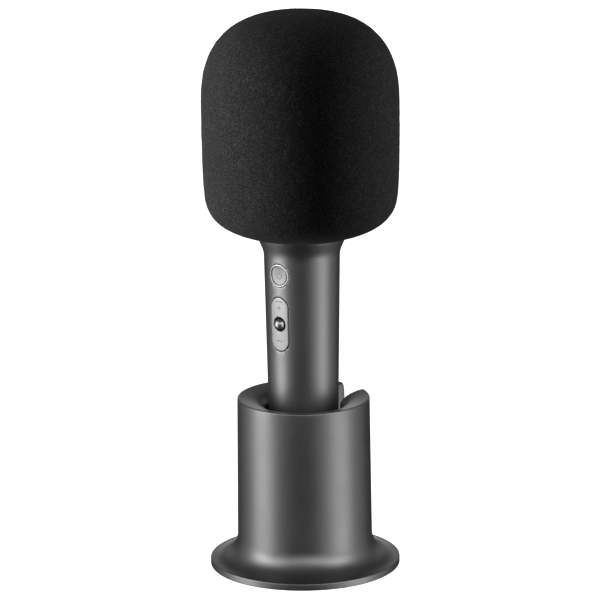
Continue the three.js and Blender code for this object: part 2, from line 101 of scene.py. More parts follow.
def add_node(
    tree: bpy.types.NodeTree,
    kind: str,
    settings: dict[str | int, object] | None = None,
    links: dict[str | int, Socket] | None = None,
) -> bpy.types.Node:
    """Adds one node with its settings and links.

    Args:
        tree: the material's or world's node tree.
        kind: the node's type, such as "ShaderNodeTexNoise".
        settings: values by input name or number, or by the node's own property.
        links: for each input, the output that feeds it.

    Returns:
        The new node.
    """
    node = tree.nodes.new(kind)
    for key, value in (settings or {}).items():
        if isinstance(key, str) and hasattr(node, key):
            setattr(node, key, value)
        else:
            node.inputs[key].default_value = value
    for key, source in (links or {}).items():
        tree.links.new(source, node.inputs[key])
    return node


class Grain(Enum):
    """The fine pattern that a way of making leaves on a surface."""

    BLASTED = "bead blasting: even, soft speckle"
    MOULDED = "spark-eroded mould: small round cells"
    TURNED = "lathe turning: fine rings about the axis"


@dataclass(frozen=True)
class Finish:
    """A material and how its surface was made.

    Attributes:
        name: material and making, in a maker's words.
        colour: sRGB hex of the surface.
        shade: sRGB hex of the grain's darker tone.
        roughness: typical value for the making.
        metallic: 1 for bare metal, less under lacquer.
        grain: the pattern that the making leaves.
        grain_mm: distance from one grain to the next.
        relief_mm: depth of the grain.
        wander: how far handling and making vary the roughness.
        smudge_mm: size of the patches where it varies.
        sockets: other values, set on the shader's own sockets.
    """

    name: str
    colour: str
    shade: str
    roughness: float
    metallic: float = 0.0
    grain: Grain = Grain.MOULDED
    grain_mm: float = 0.5
    relief_mm: float = 0.01
    wander: float = 0.05
    smudge_mm: float = 14.0
    sockets: dict[str, float] = field(default_factory=dict)

    def material(self) -> bpy.types.Material:
        """Makes the material the first time that it is asked for.

        Returns:
            The material.
        """
        known = bpy.data.materials.get(self.name)
        if known:
            return known
        made = bpy.data.materials.new(self.name)
        made.use_nodes = True
        made.node_tree.nodes.clear()
        self.build(made.node_tree)
        return made

    def pattern(self, tree: bpy.types.NodeTree, place: Socket) -> Socket:
        """Adds the grain's texture.

        Args:
            tree: the material's nodes.
            place: position on the piece, in metres.

        Returns:
            The pattern from 0, deep, to 1, high.
        """
        scale = 1 / (self.grain_mm * MM)
        if self.grain is Grain.BLASTED:
            return add_node(
                tree, "ShaderNodeTexNoise",
                {"Scale": scale, "Detail": 3.0, "Roughness": 0.6}, {"Vector": place},
            ).outputs["Fac"]
        if self.grain is Grain.MOULDED:
            return add_node(
                tree, "ShaderNodeTexVoronoi",
                {"feature": "SMOOTH_F1", "Scale": scale, "Smoothness": 0.6},
                {"Vector": place},
            ).outputs["Distance"]
        stretched = add_node(
            tree, "ShaderNodeMapping", {"Scale": (0.04, 0.04, 1.0)}, {"Vector": place}
        ).outputs["Vector"]
        return add_node(
            tree, "ShaderNodeTexNoise", {"Scale": scale, "Detail": 2.0},
            {"Vector": stretched},
        ).outputs["Fac"]

    def coat(
        self,
        tree: bpy.types.NodeTree,
        share: Socket,
        height: Socket,
        strength: float,
        gloss: Socket | None = None,
    ) -> None:
        """Adds what every finish ends with: tone, relief, shader and output.

        Args:
            tree: the material's nodes.
            share: where the lighter tone lies, from 0 to 1.
            height: what stands out of the surface.
            strength: how much of the relief is seen.
            gloss: the roughness, where it varies.
        """
        tone = add_node(
            tree, "ShaderNodeMix",
            {"data_type": "RGBA", 6: linear(self.shade), 7: linear(self.colour)},
            {"Factor": share},
        ).outputs[2]
        relief = add_node(
            tree, "ShaderNodeBump", {"Strength": strength, "Distance": self.relief_mm * MM},
            {"Height": height},
        ).outputs["Normal"]
        links = {"Base Color": tone, "Normal": relief}
        if gloss is not None:
            links["Roughness"] = gloss
        values = {"Metallic": self.metallic, "Roughness": self.roughness, **self.sockets}
        surface = add_node(tree, "ShaderNodeBsdfPrincipled", values, links)
        output = {"Surface": surface.outputs["BSDF"]}
        add_node(tree, "ShaderNodeOutputMaterial", links=output)

    def build(self, tree: bpy.types.NodeTree) -> None:
        """Adds the shader: tone and relief from the grain, gloss from slow smudges.

        Args:
            tree: the material's nodes.
        """
        place = add_node(tree, "ShaderNodeTexCoord").outputs["Object"]
        grain = self.pattern(tree, place)
        smudge = add_node(
            tree, "ShaderNodeTexNoise",
            {"Scale": 1 / (self.smudge_mm * MM), "Detail": 4.0, "Distortion": 0.4},
            {"Vector": place},
        ).outputs["Fac"]
        least, most = self.roughness - self.wander / 2, self.roughness + self.wander / 2
        gloss = add_node(
            tree, "ShaderNodeMapRange",
            {"From Min": 0.25, "From Max": 0.75, "To Min": least, "To Max": most},
            {"Value": smudge},
        ).outputs["Result"]
        self.coat(tree, grain, grain, 1.0, gloss)


@dataclass(frozen=True)
class OpenCellFoam(Finish):
    """Reticulated polyurethane foam: struts paler with painted light, pores darker with painted
    shade, and a soft bloom.

    Attributes:
        mottle_mm: size of the patches where the foam is paler or darker.
    """

    mottle_mm: float = 9.0

    def build(self, tree: bpy.types.NodeTree) -> None:
        """Adds the shader: the cells give the pores painted shade and the struts painted light.

        Args:
            tree: the material's nodes.
        """
        place = add_node(tree, "ShaderNodeTexCoord").outputs["Object"]
        cells = add_node(
            tree, "ShaderNodeTexVoronoi",
            {"feature": "F1", "Scale": 1 / (self.grain_mm * MM), "Randomness": 1.0},
            {"Vector": place},
        ).outputs["Distance"]
        fluff = add_node(
            tree, "ShaderNodeTexNoise",
            {"Scale": 1.6 / (self.grain_mm * MM), "Detail": 4.0, "Roughness": 0.7},
            {"Vector": place},
        ).outputs["Fac"]
        times = {"operation": "MULTIPLY"}
        height = add_node(tree, "ShaderNodeMath", times, {0: cells, 1: fluff}).outputs[0]
        # Painted light on the struts and painted shade in the pores, taken from the cells'
        # height.
        strut_painted_light = add_node(
            tree, "ShaderNodeMapRange", {"From Min": 0.12, "From Max": 0.48},
            {"Value": height},
        ).outputs["Result"]
        mottle = add_node(
            tree, "ShaderNodeTexNoise", {"Scale": 1 / (self.mottle_mm * MM), "Detail": 2.0},
            {"Vector": place},
        ).outputs["Fac"]
        share = add_node(
            tree, "ShaderNodeMapRange",
            {"From Min": 0.3, "From Max": 0.7, "To Min": 0.75, "To Max": 1.0},
            {"Value": mottle},
        ).outputs["Result"]
        # Tone share: painted strut light and pore shade, varied by random mottle.
        bright = add_node(tree, "ShaderNodeMath", times, {0: strut_painted_light, 1: share}).outputs[0]
        self.coat(tree, bright, height, 0.8)


# Bead-blasted aluminium under a dark anodised layer: broad soft highlights, no visible grain
# beyond a faint speckle. The blasting's own 0.1 mm grain is drawn at 0.45 mm, so that it shows.
ANODISED = Finish(
    "blasted_anodised_aluminium", colour="#676767", shade="#5F5F5F", roughness=0.42,
    metallic=1.0, grain=Grain.BLASTED, grain_mm=0.45, relief_mm=0.004, wander=0.05,
)
# The rocker is the same metal, but lapped flat before anodising: a little brighter and sharper.
LAPPED = Finish(
    "lapped_anodised_aluminium", colour="#6E6E6E", shade="#686868", roughness=0.38,
    metallic=1.0, grain=Grain.BLASTED, grain_mm=0.45, relief_mm=0.003, wander=0.04,
)
# Diamond-cut aluminium: bare, bright, with rings from the cutter.
BRIGHT_CUT = Finish(
    "diamond_cut_aluminium", colour="#B6B6B6", shade="#A6A6A6", roughness=0.5, metallic=1.0,
    grain=Grain.TURNED, grain_mm=0.25, relief_mm=0.002,
)
# Marks are etched through the anodising and filled dark: matt, hardly deeper than a scratch.
ETCHED_INK = Finish(
    "etched_ink", colour="#3B3C3F", shade="#343538", roughness=0.5, grain_mm=0.3
)
# Black-nickel plate over polished ABS: a dark mirror, with a soft bright highlight.
BLACK_NICKEL = Finish(
    "polished_black_nickel", colour="#8E8E8E", shade="#868686", roughness=0.36,
    metallic=1.0, grain=Grain.BLASTED, grain_mm=0.6, relief_mm=0.0005, wander=0.03,
)
# ABS from a spark-eroded mould: fine pebbling that breaks up the gloss.
MOULDED_ABS = Finish(
    "moulded_black_abs", colour="#232427", shade="#1A1B1D", roughness=0.55, grain_mm=0.4,
    relief_mm=0.02, sockets={"IOR": 1.54},
)
# Compression-moulded silicone rubber: dull, slightly dusty.
RUBBER = Finish(
    "moulded_silicone_rubber", colour="#202022", shade="#161618", roughness=0.78,
    grain_mm=0.6, relief_mm=0.02, wander=0.1, sockets={"IOR": 1.41},
)
# Turned and zinc-plated steel: cool grey, rings from the lathe.
PLATED_STEEL = Finish(
    "turned_zinc_plated_steel", colour="#A3A5A8", shade="#8C8E92", roughness=0.32,
    metallic=1.0, grain=Grain.TURNED, grain_mm=0.3, relief_mm=0.004,
)
# Pressed steel mesh with baked black lacquer.
LACQUERED_STEEL = Finish(
    "lacquered_pressed_steel", colour="#4A4B4E", shade="#3C3D40", roughness=0.38,
    metallic=0.85, grain=Grain.BLASTED, grain_mm=0.5, relief_mm=0.004,
)
# Glass-fibre laminate under green solder mask: the weave shows as small cells.
LAMINATE = Finish(
    "masked_fibreglass_laminate", colour="#1F5A3C", shade="#164530", roughness=0.4,
    grain_mm=0.9, relief_mm=0.01, sockets={"IOR": 1.55},
)
# PVC sleeve shrunk over the cell: glossy, tight.
SHRUNK_PVC = Finish(
    "shrunk_pvc_sleeve", colour="#2D6CB0", shade="#285F9C", roughness=0.3, grain_mm=2.5,
    relief_mm=0.02, sockets={"IOR": 1.53},
)
# Felted paper pulp, pressed into a cone.
PRESSED_PULP = Finish(
    "pressed_paper_pulp", colour="#2E2E31", shade="#222225", roughness=0.85,
    grain=Grain.BLASTED, grain_mm=0.7, relief_mm=0.03,
)
# Sixty-pore foam has pores of 0.4 mm; they are drawn at 0.6 mm, so that they show. Its shade
# colour is painted shade in the pores, and its colour is painted light on the struts.
FOAM = OpenCellFoam(
    "reticulated_polyurethane_foam", colour="#454546", shade="#19191A", roughness=0.95,
    grain_mm=0.6, relief_mm=0.2,
    sockets={"Specular IOR Level": 0.1, "Sheen Weight": 0.02, "Sheen Roughness": 0.5},
)


# ---- meshes ----


def arc(centre: Pair, radii: Pair, start: float, end: float, steps: int) -> Outline:
    """Points on a stretch of an ellipse.

    Args:
        centre: the ellipse's middle.
        radii: its half width and half height.
        start, end: where the stretch runs, in degrees from +r towards +z.
        steps: how many steps it is drawn in.

    Returns:
        The points, both ends included.
    """
    turns = [math.radians(start + (end - start) * i / steps) for i in range(steps + 1)]
    return [
        (centre[0] + radii[0] * math.cos(a), centre[1] + radii[1] * math.sin(a))
        for a in turns
    ]


def bend(a: Pair, b: Pair, c: Pair, d: Pair, steps: int) -> Outline:
    """Points on a cubic Bezier curve.

    Args:
        a: where it starts, which is left out.
        b, c: the two points that pull it.
        d: where it ends.
        steps: how many steps it is drawn in.

    Returns:
        The points.
    """
    made = []
    for i in range(1, steps + 1):
        t = i / steps
        weights = ((1 - t) ** 3, 3 * t * (1 - t) ** 2, 3 * t * t * (1 - t), t**3)
        pairs = list(zip(weights, (a, b, c, d), strict=True))
        made.append(tuple(sum(w * p[k] for w, p in pairs) for k in (0, 1)))
    return made


def dome(radius: float, foot: float, top: float, power: float, steps: int) -> Outline:
    """Points on a superellipse that closes on the axis.

    Args:
        radius: its radius at the foot.
        foot, top: its lowest and highest heights.
        power: 2 for an ellipse, more for a squarer one.
        steps: how many steps it is drawn in.

    Returns:
        The points, without the one at the foot.
    """
    made = []
    for i in range(1, steps + 1):
        a = math.radians(90 * i / steps)
        r = 0.0 if i == steps else radius * math.cos(a) ** (2 / power)
        made.append((r, foot + (top - foot) * math.sin(a) ** (2 / power)))
    return made


def spaced(outline: Outline, step: float) -> Outline:
    """Adds points to an open outline.

    Args:
        outline: the outline.
        step: the furthest that two points may be apart.

    Returns:
        The outline with its new points.
    """
    made = [outline[0]]
    for (r0, z0), (r1, z1) in zip(outline, outline[1:]):
        count = max(1, math.ceil(math.hypot(r1 - r0, z1 - z0) / step))
        made += [
            (r0 + (r1 - r0) * i / count, z0 + (z1 - z0) * i / count)
            for i in range(1, count + 1)
        ]
    return made


def turned(outline: Outline, segments: int = 128) -> bmesh.types.BMesh:
    """Turns an outline about Z.

    Args:
        outline: (radius, z) points that run anticlockwise; it closes on itself or, where it
            starts and ends on the axis, there.
        segments: flats around the piece.

    Returns:
        A closed mesh, in millimetres.
    """
    made = bmesh.new()
    angles = [2 * math.pi * i / segments for i in range(segments)]
    rings = [
        [made.verts.new((r * math.cos(a), r * math.sin(a), z)) for a in angles]
        if r > 1e-9
        else [made.verts.new((0, 0, z))]
        for r, z in outline
    ]
    for low, high in zip(rings, rings[1:] + rings[:1]):
        if len(low) == len(high) == 1:
            continue
        m, n = len(low), len(high)
        for i in range(segments):
            j = (i + 1) % segments
            ring = (low[i % m], low[j % m], high[j % n], high[i % n])
            made.faces.new(list(dict.fromkeys(ring)))
    return made


def pushed(outline: Outline, low: float, high: float) -> bmesh.types.BMesh:
    """Pushes a flat outline along Z.

    Args:
        outline: (x, y) points, anticlockwise.
        low, high: where it starts and ends.

    Returns:
        A closed mesh, in millimetres.
    """
    made = bmesh.new()
    floor = [made.verts.new((x, y, low)) for x, y in outline]
    roof = [made.verts.new((x, y, high)) for x, y in outline]
    made.faces.new(floor[::-1])
    made.faces.new(roof)
    for i, corner in enumerate(floor):
        j = (i + 1) % len(floor)
        made.faces.new((corner, floor[j], roof[j], roof[i]))
    return made


def pill(width: float, height: float, steps: int = 24) -> Outline:
    """The outline of a slot with round ends.

    Args:
        width, height: its size.
        steps: flats in each quarter turn.

    Returns:
        The points, anticlockwise about its middle.
    """
    r = min(width, height) / 2
    x, y = width / 2 - r, height / 2 - r
    made: Outline = []
    for sx, sy, start in ((1, 1, 0), (-1, 1, 90), (-1, -1, 180), (1, -1, 270)):
        made += arc((sx * x, sy * y), (r, r), start, start + 90, steps)
    return [p for i, p in enumerate(made) if math.dist(p, made[i - 1]) > 1e-6]


def solid(name: str, mesh: bmesh.types.BMesh) -> bpy.types.Object:
    """Links a mesh as an object.

    Args:
        name: the object's name.
        mesh: the mesh in millimetres, which is used up.

    Returns:
        The object, still in millimetres.
    """
    data = bpy.data.meshes.new(name)
    mesh.to_mesh(data)
    mesh.free()
    made = bpy.data.objects.new(name, data)
    bpy.context.scene.collection.objects.link(made)
    return made


def settle(piece: bpy.types.Object) -> bpy.types.Object:
    """Makes a piece's modifiers part of its mesh.

    Args:
        piece: the piece.

    Returns:
        The same piece.
    """
    shaped = piece.evaluated_get(bpy.context.evaluated_depsgraph_get())
    plain, piece.data = piece.data, bpy.data.meshes.new_from_object(shaped)
    piece.modifiers.clear()
    bpy.data.meshes.remove(plain)
    piece.data.name = piece.name
    return piece


class Cut(Enum):
    """How one solid changes another."""

    AWAY = "DIFFERENCE"
    JOIN = "UNION"


def combine(
    piece: bpy.types.Object, others: Iterable[bmesh.types.BMesh], how: Cut = Cut.AWAY
) -> bpy.types.Object:
    """Cuts solids out of a piece, or joins them to it.

    Args:
        piece: the piece, in millimetres.
        others: the solids, which are used up.
        how: cut away or join.

    Returns:
        The same piece.
    """
    for mesh in others:
        other = solid("tool", mesh)
        change = piece.modifiers.new("combine", "BOOLEAN")
        change.operation, change.object, change.solver = how.value, other, "EXACT"
        settle(piece)
        used = other.data
        bpy.data.objects.remove(other)
        bpy.data.meshes.remove(used)
    return piece


def break_edges(
    piece: bpy.types.Object, width: float, segments: int = 3, sharper: float = 40
) -> bpy.types.Object:
    """Rounds a piece's sharp edges.

    Args:
        piece: the piece, in millimetres.
        width: how far each rounding reaches, in millimetres.
        segments: flats across each rounding.
        sharper: only edges that turn by more than this many degrees.

    Returns:
        The same piece.
    """
    mesh = bmesh.new()
    mesh.from_mesh(piece.data)
    bmesh.ops.remove_doubles(mesh, verts=mesh.verts[:], dist=0.004)
    mesh.to_mesh(piece.data)
    mesh.free()
    change = piece.modifiers.new("break", "BEVEL")
    change.width, change.segments = width, segments
    change.limit_method, change.angle_limit = "ANGLE", math.radians(sharper)
    change.use_clamp_overlap = False
    return settle(piece)


def facing(mesh: bmesh.types.BMesh, z: float) -> bmesh.types.BMesh:
    """Turns a mesh made along Z to stand out of the microphone's -Y side at height z."""
    mesh.transform(Matrix.Translation((0, 0, z)) @ Matrix.Rotation(math.pi / 2, 4, "X"))
    return mesh


def joint_axis(name: str) -> Vector:
    """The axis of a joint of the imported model."""
    return Vector(next(j["axis"] for j in frame["joints"] if j["name"] == name))


def rise(node: str) -> Pair:
    """Heights of a CAD node's foot and top, in millimetres."""
    low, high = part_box(node)
    return low.z / MM, high.z / MM


def reach(node: str) -> float:
    """How far a CAD node reaches from the Z axis along X, in millimetres."""
    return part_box(node)[1].x / MM


@dataclass
class Fitter:
    """Puts pieces in the frame: scale, turn, smoothness, finish, body and CAD node.

    Attributes:
        body: the body that its pieces ride on.
        turn: how far they are turned about Z, in radians.
    """

    body: str
    turn: float = 0.0

    def place(
        self,
        piece: bpy.types.Object,
        finish: Finish,
        slot: str,
        nodes: Sequence[str] = (),
        body: str | None = None,
        smooth: float = 30,
    ) -> bpy.types.Object:
        """Finishes a piece that was built in millimetres.

        Args:
            piece: the piece.
            finish: its material.
            slot: the record's material slot; not used.
            nodes: the CAD nodes that it stands for.
            body: the body it rides on, if not this fitter's own.
            smooth: edges that turn by less than this many degrees shade smoothly.

        Returns:
            The same piece.
        """
        data = piece.data
        data.transform(Matrix.Scale(MM, 4) @ Matrix.Rotation(self.turn, 4, "Z"))
        data.polygons.foreach_set("use_smooth", [True] * len(data.polygons))
        data.set_sharp_from_angle(angle=math.radians(smooth))
        data.materials.clear()
        data.materials.append(finish.material())
        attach(piece, body or self.body)
        if nodes:
            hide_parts(*nodes)
        LOG.info("%s: %s, %d faces", piece.name, finish.name, len(data.polygons))
        return piece


def dress(finish: Finish, *nodes: str) -> None:
    """Gives CAD nodes whose shape is right a finish.

    Args:
        finish: their material.
        nodes: the nodes' names.
    """
    for name in nodes:
        data = frame["nodes"][name].data
        data.materials.clear()
        data.materials.append(finish.material())
        LOG.info("%s: %s, as modelled", name, finish.name)


# ---- the cup ----


@dataclass
class DeskCup:
    """The flared cup: shell, rubber liner, ballast, base plate, foot and screws."""

    fit: Fitter
    foot_radius: float
    rim_height: float
    foot_bottom: float = 0.15
    foot_edge: float = 3.2
    under_round: float = 0.4
    edge_round: float = 0.5
    barrel_low: Pair = (29.45, 14.2)
    rim_radius: float = 28.85
    rim_round: float = 0.6
    bore_radius: float = 16.75
    lip_drop: float = 5.2
    lip_under: float = 66.0
    sleeve_radius: float = 18.4
    plate_seat: Pair = (36.3, 3.1)
    slot_half: float = 6.0
    slot_bottom: float = 12.0
    slot_round: float = 2.2
    liner_step: float = 20.0
    liner_well: Pair = (15.2, 5.4)
    liner_mouth: float = 16.6
    liner_grip: Pair = (14.7, 15.1)
    liner_hole: float = 11.5
    sole_width: float = 7.0
    sole_grooves: int = 3
    channel_top: float = 1.6
    screw_hole: Pair = (1.75, 5.0)
    screw_sink: Pair = (2.6, 2.1)

    def slot(self) -> bmesh.types.BMesh:
        """The cable slot's cutter: open at the rim, round at its bottom, facing +Y.

        Returns:
            A closed mesh, in millimetres.
        """
        half, r, turn = self.slot_half, self.slot_round, self.rim_height - self.slot_round
        above = self.rim_height + 5
        outline = arc((0, self.slot_bottom + half), (half, half), 180, 360, 32)
        outline += arc((half + r, turn), (r, r), 180, 90, 12)
        outline += [(half + r, above), (-half - r, above)]
        outline += arc((-half - r, turn), (r, r), 90, 0, 12)
        mesh = pushed(outline, 8, self.foot_radius + 5)
        mesh.transform(Matrix.Rotation(math.pi, 4, "Z") @ Matrix.Rotation(math.pi / 2, 4, "X"))
        return mesh

    def shell(self) -> bpy.types.Object:
        """The anodised shell, with its flare, rolled lip and cable slot.

        Returns:
            The piece, in millimetres.
        """
        low_r, low_z = self.barrel_low
        under, edge, top = self.under_round, self.edge_round, self.rim_height
        far, bore = self.foot_radius, self.bore_radius
        rim, shoulder = self.rim_radius - self.rim_round, top - self.rim_round
        outline = [
            (self.plate_seat[0], self.foot_bottom),
            *arc((far - under, self.foot_bottom + under), (under, under), -90, 0, 6),
            *arc((far - edge, self.foot_edge - edge), (edge, edge), 0, 90, 6),
            *arc(
                (far - edge, low_z), (far - edge - low_r, low_z - self.foot_edge), 270, 180, 48
            )[1:],
            *spaced([(low_r, low_z), (self.rim_radius, shoulder)], 3)[1:],
            *arc((rim, shoulder), (self.rim_round,) * 2, 0, 90, 6)[1:],
            *bend(
                (rim, top), (rim - 4.0, top - 0.65), (bore + 1.5, top - 1.6),
                (bore, top - self.lip_drop), 32,
            ),
            (self.bore_radius, self.lip_under), (self.sleeve_radius, self.lip_under),
            (self.sleeve_radius, self.plate_seat[1]), self.plate_seat,
        ]
        piece = solid("cup_shell", turned(outline, 240))
        return break_edges(combine(piece, [self.slot()]), 0.35)

    def liner(self) -> bpy.types.Object:
        """The rubber liner that grips the handle, with the step that carries it.

        Returns:
            The piece, in millimetres.
        """
        outer, (floor, top) = reach("cup_liner"), rise("cup_liner")
        step, well, grip = self.liner_step, self.liner_well, self.liner_grip
        mouth, hole = self.liner_mouth, self.liner_hole
        outline = [
            (0, floor), (outer, floor), (outer, top), (mouth, top),
            *arc((mouth, top - 0.3), (0.3, 0.3), 90, 180, 4)[1:],
            (grip[1], step + 0.4), (grip[0], step),
            *arc((hole + 0.4, step - 0.4), (0.4, 0.4), 90, 180, 4),
            (hole, step - 1.8), (well[0], step - 3.8), well, (0, well[1]),
        ]
        piece = solid("cup_grip_liner", turned(outline, 160))
        return break_edges(combine(piece, [self.slot()]), 0.2)

    def sole(self) -> bpy.types.Object:
        """The rubber foot ring, grooved so that it grips.

        Returns:
            The piece, in millimetres.
        """
        outer, top = reach("foot_ring"), rise("foot_ring")[1]
        inner = outer - self.sole_width
        outline: Outline = []
        pitch = (outer - inner) / self.sole_grooves
        for i in range(self.sole_grooves):
            start = inner + i * pitch
            outline += arc((start + 0.5, 0.3), (0.3, 0.3), 180, 270, 3)
            outline += arc((start + pitch - 0.5, 0.3), (0.3, 0.3), 270, 360, 3)
        outline += [(outer, 0.5), (outer, top), (inner, top), (inner, 0.5)]
        return solid("grooved_foot_ring", turned(outline, 160))

    def plate(self) -> bpy.types.Object:
        """The base plate, with the foot ring's channel and the screws' counterbores.

        Returns:
            The piece, in millimetres.
        """
        outer, (floor, top) = reach("base_plate"), rise("base_plate")
        ring = reach("foot_ring")
        inner, ceiling = ring - self.sole_width - 0.3, self.channel_top
        outline = [
            (0, floor), (inner, floor), (inner, ceiling), (ring + 0.3, ceiling),
            (ring + 0.3, floor), *arc((outer - 0.3, floor + 0.3), (0.3, 0.3), -90, 0, 3),
            (outer, top), (0, top),
        ]
        holes = []
        for name in self.screws():
            low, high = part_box(name)
            for radius, depth in (self.screw_hole, self.screw_sink):
                hole = turned([(0, 0), (radius, 0), (radius, depth), (0, depth)], 48)
                middle = (low + high) / 2 / MM
                hole.transform(Matrix.Translation((middle.x, middle.y, 0)))
                holes.append(hole)
        return combine(solid("recessed_base_plate", turned(outline, 160)), holes)

    @staticmethod
    def screws() -> list[str]:
        """The names of the base screws' nodes."""
        return sorted(n for n in frame["nodes"] if n.startswith("base_screw_"))

    def build(self) -> None:
        """Builds and places the cup's pieces."""
        self.fit.place(self.shell(), ANODISED, "gunmetal", ["stand_shell"])
        self.fit.place(self.liner(), RUBBER, "black_rubber", ["cup_liner"])
        self.fit.place(self.sole(), RUBBER, "black_rubber", ["foot_ring"])
        self.fit.place(self.plate(), MOULDED_ABS, "black_plastic", ["base_plate"])
        dress(PLATED_STEEL, "ballast_ring", *self.screws())


# ---- the handle and its controls ----


@dataclass
class Handle:
    """The tapered anodised tube, its lower end and what is inside it."""

    fit: Fitter
    foot: float
    low_radius: float = 14.35
    top: Pair = (16.445, 139.0)
    bore_low: float = 12.75
    bore_top: Pair = (14.9, 140.0)
    neck: Pair = (19.5, 147.9)
    socket: Pair = (9.6, 3.9)

    def radius(self, z: float) -> float:
        """The handle's outer radius at height z."""
        share = (z - self.foot) / (self.top[1] - self.foot)
        return self.low_radius + (self.top[0] - self.low_radius) * share

    def shell(self, holes: Iterable[bmesh.types.BMesh]) -> bpy.types.Object:
        """The tube with its flared neck, cut for the controls.

        Args:
            holes: solids to cut from it.

        Returns:
            The piece, in millimetres.
        """
        neck_r, neck_z = self.neck
        outline = [
            (self.bore_low, self.foot + 0.2), (self.bore_low + 0.2, self.foot),
            *arc((self.low_radius - 0.4, self.foot + 0.4), (0.4, 0.4), -90, 0, 6),
            *spaced([(self.low_radius, self.foot + 0.5), self.top], 2.5)[1:],
            *bend(self.top, (16.5, 142.0), (17.9, 143.9), (neck_r, neck_z), 24),
            (self.bore_top[0], neck_z), self.bore_top,
        ]
        piece = combine(solid("handle_tube", turned(outline, 240)), holes)
        return break_edges(piece, 0.14, 2)

    def end_cap(self) -> bpy.types.Object:
        """The plug in the handle's lower end, around the charging socket.

        Returns:
            The piece, in millimetres.
        """
        outer, (floor, top) = reach("end_cap"), rise("end_cap")
        outline = [
            (0, floor), *arc((outer - 0.4, floor + 0.4), (0.4, 0.4), -90, 0, 4),
            (outer, top), (0, top),
        ]
        mouth = pushed(pill(*self.socket), floor - 1, top + 1)
        piece = combine(solid("handle_end_plug", turned(outline, 128)), [mouth])
        return break_edges(piece, 0.2)

    def build(self, holes: Iterable[bmesh.types.BMesh]) -> None:
        """Builds and places the handle's pieces.

        Args:
            holes: what the controls need cut from the tube.
        """
        self.fit.place(self.shell(holes), ANODISED, "gunmetal", ["handle_shell"])
        self.fit.place(self.end_cap(), MOULDED_ABS, "black_plastic", ["end_cap"])
        dress(PLATED_STEEL, "charge_port")
        dress(MOULDED_ABS, "chassis", "button_carrier")
        dress(LAMINATE, "main_board", "port_board")
        dress(SHRUNK_PVC, "battery_cell")
        switches = ("power", "volume_up", "centre", "volume_down")
        dress(PLATED_STEEL, *(f"{name}_switch" for name in switches))


